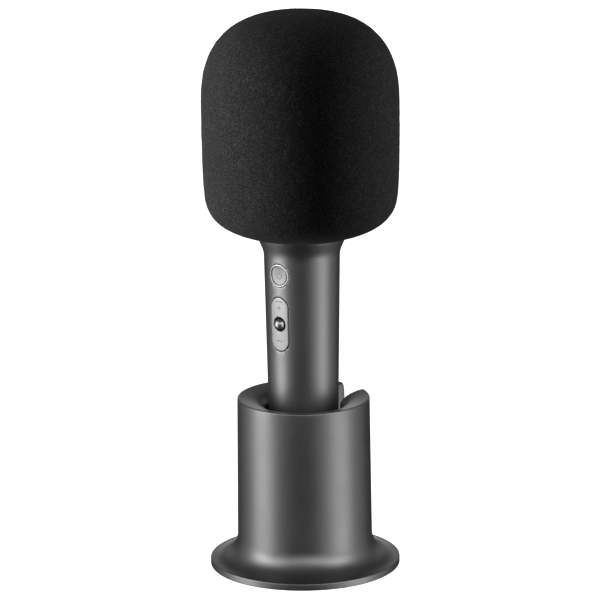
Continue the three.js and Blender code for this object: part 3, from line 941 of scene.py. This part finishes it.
@dataclass
class Controls:
    """The power button in its bright ring, and the rocker with the ball in its middle."""

    fit: Fitter
    handle: Handle
    power_height: float
    rocker_height: float
    ring: Pair = (4.35, 4.95)
    cap_radius: float = 4.2
    rocker_size: Pair = (8.9, 23.8)
    rocker_thick: float = 1.5
    seam: float = 0.3
    crown: float = 0.28
    ball_radius: float = 2.55
    ball_depth: float = 15.45
    ball_hole: float = 3.15
    stem_end: float = 10.1
    power_hole: float = 10.4
    pivot: float = 11.6
    cheek: Pair = (3.6, 4.35)
    cheek_half: float = 1.5
    pin: Pair = (4.2, 6.0)
    pin_radius: float = 0.75
    post_out: float = 7.35
    sign_width: float = 0.32
    sign_lift: float = 0.015
    sign_depth: float = 0.05

    def holes(self) -> list[bmesh.types.BMesh]:
        """What the controls need cut from the handle.

        Returns:
            The cutters, in millimetres.
        """
        width, length = (s + 2 * self.seam for s in self.rocker_size)
        return [
            facing(pushed(pill(width, length), 5, 20), self.rocker_height),
            facing(pushed(pill(self.power_hole, self.power_hole), 5, 20), self.power_height),
        ]

    def skin(self, u: float, v: float) -> float:
        """Distance of the rocker's face from the handle's axis, v above its middle."""
        half = self.rocker_size[0] / 2
        return self.handle.radius(self.rocker_height + v) - self.crown * (u / half) ** 2

    def rocker(self) -> bpy.types.Object:
        """The pill-shaped rocker, flatter across than the handle, with a hole for the ball.

        Returns:
            The piece, in millimetres.
        """
        width, length = self.rocker_size
        mesh = pushed(pill(width, length), 0, 1)
        for axis, half, step in (((1, 0, 0), width / 2, 0.35), ((0, 1, 0), length / 2, 1.0)):
            count = int(half / step)
            for i in range(-count, count + 1):
                bmesh.ops.bisect_plane(
                    mesh, geom=[*mesh.verts, *mesh.edges, *mesh.faces],
                    plane_co=Vector(axis) * i * step, plane_no=axis,
                )
        for vert in mesh.verts:
            face = self.skin(vert.co.x, vert.co.y)
            vert.co.z = face if vert.co.z > 0.5 else face - self.rocker_thick
        hole = turned([(0, 10), (self.ball_hole, 10), (self.ball_hole, 20), (0, 20)], 64)
        piece = solid("volume_rocker_cap", facing(mesh, self.rocker_height))
        return break_edges(combine(piece, [facing(hole, self.rocker_height)]), 0.22)

    def works(self) -> bpy.types.Object:
        """The rocker's cheeks, trunnions and posts, in one moulding behind its cap.

        Returns:
            The piece, in millimetres.
        """
        under = self.skin(0, 0) - self.rocker_thick
        half, r = self.cheek_half, self.pin_radius
        parts = []
        for side in (-1, 1):
            inner, outer = sorted(edge * side for edge in self.cheek)
            cheek = [(inner, -half), (outer, -half), (outer, half), (inner, half)]
            parts.append(pushed(cheek, self.pivot - 0.7, under - 0.3))
            pin = pushed(arc((0, 0), (r, r), 0, 352.5, 47), *self.pin)
            way = Matrix.Rotation(side * math.pi / 2, 4, "Y")
            pin.transform(Matrix.Translation((0, 0, self.pivot)) @ way)
            parts.append(pin)
            post = pushed(arc((0, 0), (1, 1), 0, 352.5, 47), self.stem_end, under - 0.1)
            post.transform(Matrix.Translation((0, side * self.post_out, 0)))
            parts.append(post)
        whole = bmesh.new()
        for part in parts:
            scratch = bpy.data.meshes.new("part")
            part.to_mesh(scratch)
            part.free()
            whole.from_mesh(scratch)
            bpy.data.meshes.remove(scratch)
        return solid("volume_rocker_works", facing(whole, self.rocker_height))

    def ball(self) -> bpy.types.Object:
        """The gloss ball on its stem.

        Returns:
            The piece, in millimetres.
        """
        r, depth = self.ball_radius, self.ball_depth
        start = math.degrees(math.asin(1.1 / r)) - 90
        outline = [
            (0, self.stem_end), (1.1, self.stem_end),
            *arc((0, depth), (r, r), start, 89, 48), (0, depth + r),
        ]
        return solid("centre_ball", facing(turned(outline, 96), self.rocker_height))

    def power_ring(self) -> bpy.types.Object:
        """The bright ring, its face chamfered both ways and following the handle's curve.

        Returns:
            The piece, in millimetres.
        """
        inner, outer = self.ring
        outline = [
            (inner, 0.0), (outer, 0.0), (outer, 0.92), (outer - 0.1, 1.0),
            (inner + 0.1, 1.0), (inner, 0.92),
        ]
        mesh = turned(outline, 128)
        for vert in mesh.verts:
            z = self.power_height + vert.co.y
            face = math.sqrt(self.handle.radius(z) ** 2 - vert.co.x**2) + 0.1
            vert.co.z = face - 1.6 * (1 - vert.co.z)
        return solid("power_bright_ring", facing(mesh, self.power_height))

    def cap_skin(self, u: float, v: float) -> float:
        """Finds the dished power button's face.

        Args:
            u, v: across and up from the button's middle.

        Returns:
            The face's distance from the handle's axis.
        """
        r = math.hypot(u, v)
        curve = math.sqrt(self.handle.radius(self.power_height + v) ** 2 - u * u)
        flat = self.handle.radius(self.power_height + v) - 0.3
        share = min(1.0, (r / self.cap_radius) ** 2)
        return flat - 0.35 + share * (curve + 0.2 - flat)

    def power_cap(self) -> bpy.types.Object:
        """The dished power button on its stem.

        Returns:
            The piece, in millimetres.
        """
        r = self.cap_radius
        outline = [(0, 0.0), (r, 0.0), (r, 0.75)]
        outline += arc((r - 0.25, 0.75), (0.25, 0.25), 0, 90, 4)[1:]
        outline += [(r * i / 14, 1.0) for i in range(13, -1, -1)]
        mesh = turned(outline, 128)
        for vert in mesh.verts:
            face = self.cap_skin(vert.co.x, vert.co.y)
            vert.co.z = face - 1.4 * (1 - vert.co.z)
        piece = solid("power_button_cap", facing(mesh, self.power_height))
        stem = turned([(0, self.stem_end), (1.2, self.stem_end), (1.2, 14.8), (0, 14.8)], 32)
        return combine(piece, [facing(stem, self.power_height)], Cut.JOIN)

    def mark(
        self,
        name: str,
        path: Outline,
        width: float,
        height: float,
        skin: Callable[[float, float], float],
    ) -> bpy.types.Object:
        """A thin etched line that follows a surface.

        Args:
            name: the piece's name.
            path: the line's middle as (u, v) points, across and up.
            width: the line's width.
            height: z of the path's own zero.
            skin: distance of the surface from the handle's axis at (u, v).

        Returns:
            The piece, a hair above the surface.
        """
        mesh = bmesh.new()
        rows = []
        sunk, proud = -self.sign_depth, self.sign_lift
        for i, (u, v) in enumerate(path):
            before, after = path[max(i - 1, 0)], path[min(i + 1, len(path) - 1)]
            along = Vector((after[0] - before[0], after[1] - before[1])).normalized()
            across = Vector((-along.y, along.x)) * width / 2
            row = []
            for side, lift in ((-1, sunk), (1, sunk), (1, proud), (-1, proud)):
                x, y = u + across.x * side, v + across.y * side
                row.append(mesh.verts.new((x, y, skin(x, y) + lift)))
            rows.append(row)
        for low, high in zip(rows, rows[1:]):
            for k in range(4):
                m = (k + 1) % 4
                mesh.faces.new((low[k], low[m], high[m], high[k]))
        mesh.faces.new(rows[0][::-1])
        mesh.faces.new(rows[-1])
        bmesh.ops.recalc_face_normals(mesh, faces=mesh.faces[:])
        return solid(name, facing(mesh, height))

    def marks(self) -> None:
        """Places the generic signs: louder, quieter, a voice arc and power."""
        plus, minus, voice = 7.3, -7.4, 6.2
        across = [-1 + 2 * i / 8 for i in range(9)]
        signs = {
            "plus_mark_bar": [(u, plus) for u in across],
            "plus_mark_post_low": [(0.0, plus + v / 10) for v in (-10, -7, -4, -2)],
            "plus_mark_post_high": [(0.0, plus + v / 10) for v in (2, 4, 7, 10)],
            "minus_mark": [(1.3 * u, minus) for u in across],
            "voice_arc_mark": arc((0, voice), (4.0, 4.0), 114, 66, 10),
        }
        for name, path in signs.items():
            piece = self.mark(name, path, self.sign_width, self.rocker_height, self.skin)
            self.fit.place(piece, ETCHED_INK, "gunmetal", body="volume_rocker")
        power = {
            "power_mark_arc": arc((0, -0.1), (1.35, 1.35), 125, 415, 32),
            "power_mark_post": [(0.0, 0.35 + 0.3 * i) for i in range(5)],
        }
        for name, path in power.items():
            piece = self.mark(name, path, 0.3, self.power_height, self.cap_skin)
            self.fit.place(piece, ETCHED_INK, "gunmetal", body="power_button")

    def build(self) -> None:
        """Builds and places the controls."""
        self.fit.place(self.power_ring(), BRIGHT_CUT, "silver_trim", ["power_ring"])
        self.fit.place(
            self.power_cap(), ANODISED, "gunmetal", ["power_button"], body="power_button"
        )
        self.fit.place(
            self.rocker(), LAPPED, "gunmetal", ["volume_rocker"], body="volume_rocker"
        )
        self.fit.place(self.works(), MOULDED_ABS, "gunmetal", body="volume_rocker")
        self.fit.place(
            self.ball(), BLACK_NICKEL, "black_gloss", ["centre_button"], body="centre_button"
        )
        self.marks()


# ---- the head ----


@dataclass
class Head:
    """Collar, bowl, hoop, perforated basket and the works inside it."""

    fit: Fitter
    wide: float
    top: float
    radius: float = 34.9
    power: float = 2.6
    wire: float = 0.55
    pitch: float = 2.6
    zigzag: float = 0.17
    inset: float = 0.5
    tuck: float = 1.4
    bore: float = 13.1
    collar_radii: Pair = (14.6, 18.6)
    throat: Pair = (18.6, 152.6)
    floor: float = 154.6
    band_half: float = 1.6
    band_thick: float = 0.75

    def collar(self) -> bpy.types.Object:
        """The moulded collar between the handle and the bowl.

        Returns:
            The piece, in millimetres.
        """
        foot, top = rise("neck_collar")
        step = rise("handle_shell")[1] + 0.3
        neck, wide = self.collar_radii
        outline = [
            (self.bore, foot), *arc((neck - 0.3, foot + 0.3), (0.3, 0.3), -90, 0, 3),
            (neck, step), *arc((wide - 0.3, step + 0.3), (0.3, 0.3), -90, 0, 3),
            *arc((wide - 0.3, top - 0.3), (0.3, 0.3), 0, 90, 3), (self.bore, top),
        ]
        return solid("head_collar", turned(outline, 128))

    def bowl(self) -> bpy.types.Object:
        """The moulded bowl under the basket.

        Returns:
            The piece, in millimetres.
        """
        foot, top = rise("head_base")
        outer = self.radius
        outline = [
            (self.bore, foot), (self.throat[0], foot), self.throat,
            *bend(self.throat, (24.0, 154.9), (33.4, 156.6), (outer, top - 0.5), 24),
            (outer, top), (33.0, top),
            *bend((33.0, top), (32.4, 159.4), (24.0, 157.4), (18.0, self.floor), 20),
            (self.bore, self.floor),
        ]
        return solid("head_bowl", turned(outline, 160))

    def hoop(self) -> bpy.types.Object:
        """The steel hoop at the basket's foot, rolled round at both edges.

        Returns:
            The piece, in millimetres.
        """
        foot, top = rise("basket_hoop")
        outer = self.radius
        outline = [
            (outer - 1.3, foot + 0.3), (outer - 1.1, foot),
            *arc((outer - 0.4, foot + 0.4), (0.4, 0.4), -90, 0, 4),
            *arc((outer - 0.4, top - 0.4), (0.4, 0.4), 0, 90, 4), (outer - 1.1, top),
            (outer - 1.3, top - 0.3),
        ]
        return solid("basket_foot_hoop", turned(outline, 160))

    def band(self) -> bpy.types.Object:
        """The flat band at the basket's waist, which joins side and dome.

        Returns:
            The piece, in millimetres.
        """
        outer, z, half = self.radius, self.wide, self.band_half
        outline = [
            (outer - self.band_thick, z - half),
            *arc((outer - 0.3, z - half + 0.3), (0.3, 0.3), -90, 0, 3),
            *arc((outer - 0.3, z + half - 0.3), (0.3, 0.3), 0, 90, 3),
            (outer - self.band_thick, z + half),
        ]
        return solid("basket_waist_band", turned(outline, 160))

    def woven(self, name: str, mesh: bmesh.types.BMesh) -> bpy.types.Object:
        """Turns a mesh of cells into wires along their edges.

        Args:
            name: the piece's name.
            mesh: the cells.

        Returns:
            The piece, in millimetres.
        """
        piece = solid(name, mesh)
        change = piece.modifiers.new("wires", "WIREFRAME")
        change.thickness, change.use_even_offset = self.wire, False
        return settle(piece)

    def side(self) -> bpy.types.Object:
        """The basket's upright side: rows of six-sided holes.

        Returns:
            The piece, in millimetres.
        """
        foot = rise("basket")[0]
        r = self.radius - self.inset
        around = round(2 * math.pi * r / self.pitch)
        height = self.wide - self.tuck - foot
        rows = round(height / (self.pitch * 0.75))
        pitch = height / rows
        mesh = bmesh.new()
        grid = []
        for row in range(rows + 1):
            ring = []
            for i in range(2 * around):
                a = math.pi * i / around
                zig = pitch * self.zigzag * (1 if (i + row) % 2 else -1)
                z = foot + row * pitch + (zig if 0 < row < rows else 0)
                ring.append(mesh.verts.new((r * math.cos(a), r * math.sin(a), z)))
            grid.append(ring)
        for row, (low, high) in enumerate(zip(grid, grid[1:])):
            for i in range(row % 2, 2 * around, 2):
                span = [(i + k) % (2 * around) for k in range(3)]
                corners = [low[k] for k in span] + [high[k] for k in span[::-1]]
                mesh.faces.new(corners)
        return self.woven("basket_side_mesh", mesh)

    def crown(self) -> bpy.types.Object:
        """The basket's dome: a net of near-even cells, so that none crowd at the top.

        Returns:
            The piece, in millimetres.
        """
        ball = bmesh.new()
        bmesh.ops.create_icosphere(ball, subdivisions=5, radius=1.0)
        height = self.top - self.wide
        r = self.radius - self.inset
        mesh = bmesh.new()
        middle = {}
        for face in ball.faces:
            way = face.calc_center_median().normalized()
            if way.z < 0.02:
                continue
            flat = math.hypot(way.x, way.y)
            fill = (flat / r) ** self.power + (way.z / height) ** self.power
            spot = way * fill ** (-1 / self.power)
            middle[face.index] = mesh.verts.new((spot.x, spot.y, self.wide + spot.z))
        for vert in ball.verts:
            around = [f for f in vert.link_faces if f.index in middle]
            if len(around) < len(vert.link_faces) or len(around) < 5:
                continue
            up = vert.co.normalized()
            side = up.orthogonal().normalized()
            other = up.cross(side)

            def turn(f: bmesh.types.BMFace) -> float:
                """The face's place around the vertex."""
                way = f.calc_center_median() - vert.co
                return math.atan2(way.dot(other), way.dot(side))

            mesh.faces.new([middle[f.index] for f in sorted(around, key=turn)])
        ball.free()
        loose = [v for v in mesh.verts if not v.link_faces]
        bmesh.ops.delete(mesh, geom=loose, context="VERTS")
        return self.woven("basket_dome_mesh", mesh)

    def build(self) -> None:
        """Builds and places the head's pieces."""
        self.fit.place(self.collar(), MOULDED_ABS, "black_plastic", ["neck_collar"])
        self.fit.place(self.bowl(), MOULDED_ABS, "black_plastic", ["head_base"])
        self.fit.place(self.hoop(), PLATED_STEEL, "steel", ["basket_hoop"])
        self.fit.place(self.side(), LACQUERED_STEEL, "steel", ["basket"])
        self.fit.place(self.crown(), LACQUERED_STEEL, "steel")
        self.fit.place(self.band(), PLATED_STEEL, "steel")
        dress(MOULDED_ABS, "speaker_chamber")
        for hand in ("left", "right"):
            dress(MOULDED_ABS, f"{hand}_speaker_frame")
            dress(PLATED_STEEL, f"{hand}_speaker_magnet")
            dress(PRESSED_PULP, f"{hand}_speaker_cone")
            dress(RUBBER, f"{hand}_speaker_surround")
        dress(PLATED_STEEL, "capsule")
        dress(RUBBER, "capsule_mount")


@dataclass
class Windscreen:
    """The slip-on foam: a thick cap with an open, drawn-in foot."""

    fit: Fitter
    top: float
    radius: float = 42.497
    wide: float = 204.6
    wall: float = 7.2
    foot: float = 148.1
    under: Pair = (25.2, 149.4)
    corner: Pair = (41.3, 163.9)
    opening: float = 19.0
    heart: float = 190.0
    power: float = 2.6
    step: float = 0.9
    lump_mm: float = 2.4
    lump_depth: float = 0.1
    pore_mm: float = 1.5
    pore_depth: float = 0.14

    def outline(self) -> tuple[Outline, Outline]:
        """Draws the foam's section.

        Returns:
            Its outside, from the mouth up to the top, and its cavity, going down.
        """
        r = self.radius
        mouth = (20.2, self.foot)
        outside = [
            (19.3, self.foot + 0.4), mouth,
            *bend(mouth, (22, 148.4), (23.6, 148.7), self.under, 6),
            *bend(self.under, (35.2, 152.2), (40.2, 156.6), self.corner, 24),
            *bend(self.corner, (42.3, 169.8), (r, 184), (r, self.wide), 40),
            *dome(r, self.wide, self.top, self.power, 72),
        ]
        cavity = r - self.wall
        inside = [
            *dome(cavity, self.wide, self.top - self.wall + 0.5, self.power, 24)[::-1],
            (cavity, self.wide), (cavity, 168.2), (cavity - 0.35, 162.8), (30.8, 157.05),
            (self.opening, 152.2), (self.opening, self.foot + 0.8),
        ]
        return spaced(outside, self.step), spaced(inside, 2.0)

    def relief(self, at: Vector) -> float:
        """Roughens the foam: soft lumps, with pores let in.

        Args:
            at: a point on the surface.

        Returns:
            How far the surface stands out there.
        """
        lumps = noise.noise(at / self.lump_mm)
        near = noise.voronoi(at / self.pore_mm)[0][0]
        return self.lump_depth * lumps - self.pore_depth * max(0.0, 0.55 - near)

    def foam(self) -> bpy.types.Object:
        """The foam, its outside roughened by its own cells.

        Returns:
            The piece, in millimetres.
        """
        outside, inside = self.outline()
        mesh = turned([*inside, *outside], 288)
        mesh.normal_update()
        middle = Vector((0, 0, self.heart))
        moves = [
            (v, v.normal * self.relief(v.co))
            for v in mesh.verts
            if v.normal.dot(v.co - middle) > 0
        ]
        for vert, move in moves:
            vert.co += move
        return solid("foam_cover", mesh)

    def build(self) -> None:
        """Builds and places the foam."""
        piece = self.fit.place(
            self.foam(), FOAM, "foam", ["foam_windscreen"], body="windscreen", smooth=60
        )


# ---- the studio ----


class Lit(Enum):
    """Which pieces a light falls on: a flag keeps it off the others."""

    HARD = "metal, plastic and rubber"
    SOFT = "foam"


@dataclass(frozen=True)
class Softbox:
    """A soft light beside the object.

    Attributes:
        name: the light's name.
        swing: degrees to the right of the camera, seen from the object.
        reach: horizontal distance from the object's axis, in metres.
        low, high: the box's lowest and highest edges, in metres.
        width: the box's width, in metres.
        radiance: how bright its face is, where 1 is white.
        lit: the pieces that it falls on.
    """

    name: str
    swing: float
    reach: float
    low: float
    high: float
    width: float
    radiance: float
    lit: Lit = Lit.HARD


@dataclass
class Studio:
    """Pale floor, dim surroundings and softboxes."""

    camera_azimuth: float
    floor_radius: float = 30.0
    aim_height: float = 0.12
    boxes: tuple[Softbox, ...] = (
        Softbox("left_strip_high", -75, 1.0, 0.0, 0.95, 0.6, 2.6),
        Softbox("left_strip_low", -75, 1.0, -0.75, 0.0, 0.6, 4.3),
        Softbox("right_strip_high", 66, 1.0, 0.0, 0.95, 0.6, 2.7),
        Softbox("right_strip_low", 66, 1.0, -0.75, 0.0, 0.6, 3.7),
        Softbox("left_edge_fill", -110, 1.0, -0.75, 0.95, 0.6, 0.42),
        Softbox("right_edge_fill", 105, 1.0, -0.75, 0.95, 0.6, 0.55),
        Softbox("left_inner_fill", -42, 1.0, -0.75, 0.95, 0.5, 0.36),
        Softbox("right_inner_fill", 38, 1.0, -0.75, 0.95, 0.4, 0.85),
        Softbox("handle_box", -74, 0.3, 0.05, 0.22, 0.1, 6.8),
        Softbox("back_low_box", 180, 1.4, 0.03, 0.27, 0.5, 2.4),
        Softbox("back_low_left_box", -162, 1.4, 0.03, 0.27, 0.4, 0.6),
        Softbox("back_low_right_box", 162, 1.4, 0.03, 0.27, 0.4, 0.6),
        Softbox("back_fill", 180, 1.4, 0.4, 1.3, 0.8, 0.33),
        Softbox("back_left_fill", -145, 1.4, 0.1, 0.8, 0.5, 0.4),
        Softbox("back_right_fill", 145, 1.4, 0.1, 0.8, 0.5, 0.48),
        Softbox("front_box", 2, 1.5, 0.4, 1.2, 1.2, 2.6),
        Softbox("front_left_box", -42, 1.4, 0.5, 1.2, 0.8, 2.5),
        Softbox("front_right_box", 32, 1.4, 0.45, 1.2, 0.6, 2.6),
        Softbox("left_front_box", -62, 1.3, 0.6, 1.2, 0.6, 2.2),
        Softbox("right_front_box", 62, 1.3, 0.6, 1.2, 0.6, 4.2),
        Softbox("overhead_box", 180, 0.45, 1.2, 1.3, 1.2, 2.0),
        Softbox("left_foam_strip", -85, 1.0, -0.35, 0.75, 0.5, 11.4, Lit.SOFT),
        Softbox("right_foam_strip", 98, 1.0, -0.35, 0.75, 0.5, 4.7, Lit.SOFT),
    )

    def floor(self) -> None:
        """A pale floor, which the metal doesn't mirror, so that its dark core stays dark."""
        edge = self.floor_radius / MM
        piece = solid("studio_floor", turned([(0, -1), (edge, -1), (edge, 0), (0, 0)], 96))
        piece.data.transform(Matrix.Scale(MM, 4))
        made = bpy.data.materials.new("pale_floor")
        made.use_nodes = True
        tree = made.node_tree
        tree.nodes.clear()
        surface = add_node(
            tree, "ShaderNodeBsdfPrincipled",
            {
                "Base Color": linear("#D8D8D6"), "Roughness": 0.95,
                "Emission Color": linear("#FFFFFF"), "Emission Strength": 0.94,
            },
        )
        add_node(tree, "ShaderNodeOutputMaterial", links={"Surface": surface.outputs["BSDF"]})
        piece.data.materials.append(made)
        piece.visible_glossy = False
        piece.visible_diffuse = False
        piece.visible_shadow = False

    def world(self) -> None:
        """Pale to the eye, dim as a light."""
        world = bpy.data.worlds.new("studio")
        world.use_nodes = True
        tree = world.node_tree
        tree.nodes.clear()
        seen = add_node(tree, "ShaderNodeLightPath").outputs["Is Camera Ray"]
        tone = add_node(
            tree, "ShaderNodeMix",
            {"data_type": "RGBA", 6: linear("#2E2E2E"), 7: linear("#FCFCFC")},
            {"Factor": seen},
        ).outputs[2]
        sky = add_node(tree, "ShaderNodeBackground", links={"Color": tone})
        add_node(tree, "ShaderNodeOutputWorld", links={"Surface": sky.outputs["Background"]})
        bpy.context.scene.world = world

    def softbox(self, box: Softbox) -> None:
        """Hangs one softbox, facing the object.

        Args:
            box: where it hangs and how bright it is.
        """
        height = box.high - box.low
        data = bpy.data.lights.new(box.name, "AREA")
        data.shape, data.size, data.size_y = "RECTANGLE", box.width, height
        data.energy = box.radiance * math.pi * box.width * height
        light = bpy.data.objects.new(box.name, data)
        light.visible_camera = False
        way = math.radians(self.camera_azimuth + box.swing)
        light.location = (
            box.reach * math.sin(way), -box.reach * math.cos(way), (box.low + box.high) / 2,
        )
        aim = Vector((0, 0, self.aim_height)) - light.location
        if box.low < 0:
            aim.z = 0
        light.rotation_mode = "QUATERNION"
        light.rotation_quaternion = aim.to_track_quat("-Z", "Y")
        bpy.context.scene.collection.objects.link(light)
        light.light_linking.receiver_collection = self.receivers(box.lit)

    @staticmethod
    def receivers(lit: Lit) -> bpy.types.Collection:
        """The collection that lists what a light falls on, made once."""
        name = f"lit_{lit.name.lower()}"
        return bpy.data.collections.get(name) or bpy.data.collections.new(name)

    def sort(self) -> None:
        """Lists each piece for the lights that fall on it, once all are made."""
        for piece in bpy.data.objects:
            if piece.type != "MESH":
                continue
            soft = FOAM.name in piece.data.materials
            self.receivers(Lit.SOFT if soft else Lit.HARD).objects.link(piece)

    def build(self) -> None:
        """Builds the floor, the world and the lights."""
        self.floor()
        self.world()
        for box in self.boxes:
            self.softbox(box)
        display = bpy.context.scene.view_settings
        display.view_transform, display.look = "Standard", "None"


@dataclass
class Viewpoint:
    """Where the camera stands: in front of the right-hand side, a little above."""

    azimuth: float = 50.8
    pitch: float = 14.4
    distance: float = 1.73
    look_height: float = 0.1187
    lens: float = 240.0
    sensor: float = 36.0
    roll: float = 0.64
    shift: float = -0.0040

    def build(self) -> None:
        """Places the camera."""
        data = bpy.data.cameras.new("camera")
        data.lens, data.sensor_width, data.shift_x = self.lens, self.sensor, self.shift
        camera = bpy.data.objects.new("camera", data)
        a, e = math.radians(self.azimuth), math.radians(self.pitch)
        back = Vector((math.sin(a) * math.cos(e), -math.cos(a) * math.cos(e), math.sin(e)))
        camera.location = Vector((0, 0, self.look_height)) + back * self.distance
        camera.rotation_mode = "QUATERNION"
        level = (-back).to_track_quat("-Z", "Y")
        tilt = Quaternion((0, 0, 1), -math.radians(self.roll))
        camera.rotation_quaternion = level @ tilt
        bpy.context.scene.collection.objects.link(camera)
        bpy.context.scene.camera = camera


def corners(box: tuple[Vector, Vector]) -> list[list[float]]:
    """A box's two corners as plain lists."""
    return [list(corner) for corner in box]


def main() -> None:
    """Builds the object and its studio, in order."""
    logging.basicConfig(level=logging.INFO, format="%(name)s: %(message)s")
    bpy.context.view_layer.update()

    view = Viewpoint()
    view.build()
    studio = Studio(view.azimuth)
    studio.build()

    cup_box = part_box("stand_shell")[1] / MM
    DeskCup(Fitter("stand"), cup_box.x, cup_box.z).build()

    press = joint_axis("power_press")
    on_microphone = Fitter("microphone", math.atan2(-press.x, press.y))
    handle = Handle(on_microphone, rise("handle_shell")[0])
    power = sum((c.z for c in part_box("power_ring")), 0.0) / 2 / MM
    rocker = sum((c.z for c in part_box("centre_button")), 0.0) / 2 / MM
    controls = Controls(on_microphone, handle, power, rocker)
    handle.build(controls.holes())
    controls.build()

    foam_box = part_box("foam_windscreen")[1] / MM
    foam = Windscreen(on_microphone, foam_box.z)
    Head(on_microphone, foam.wide, rise("basket")[1]).build()
    foam.build()
    studio.sort()


if __name__ == "__main__":
    main()
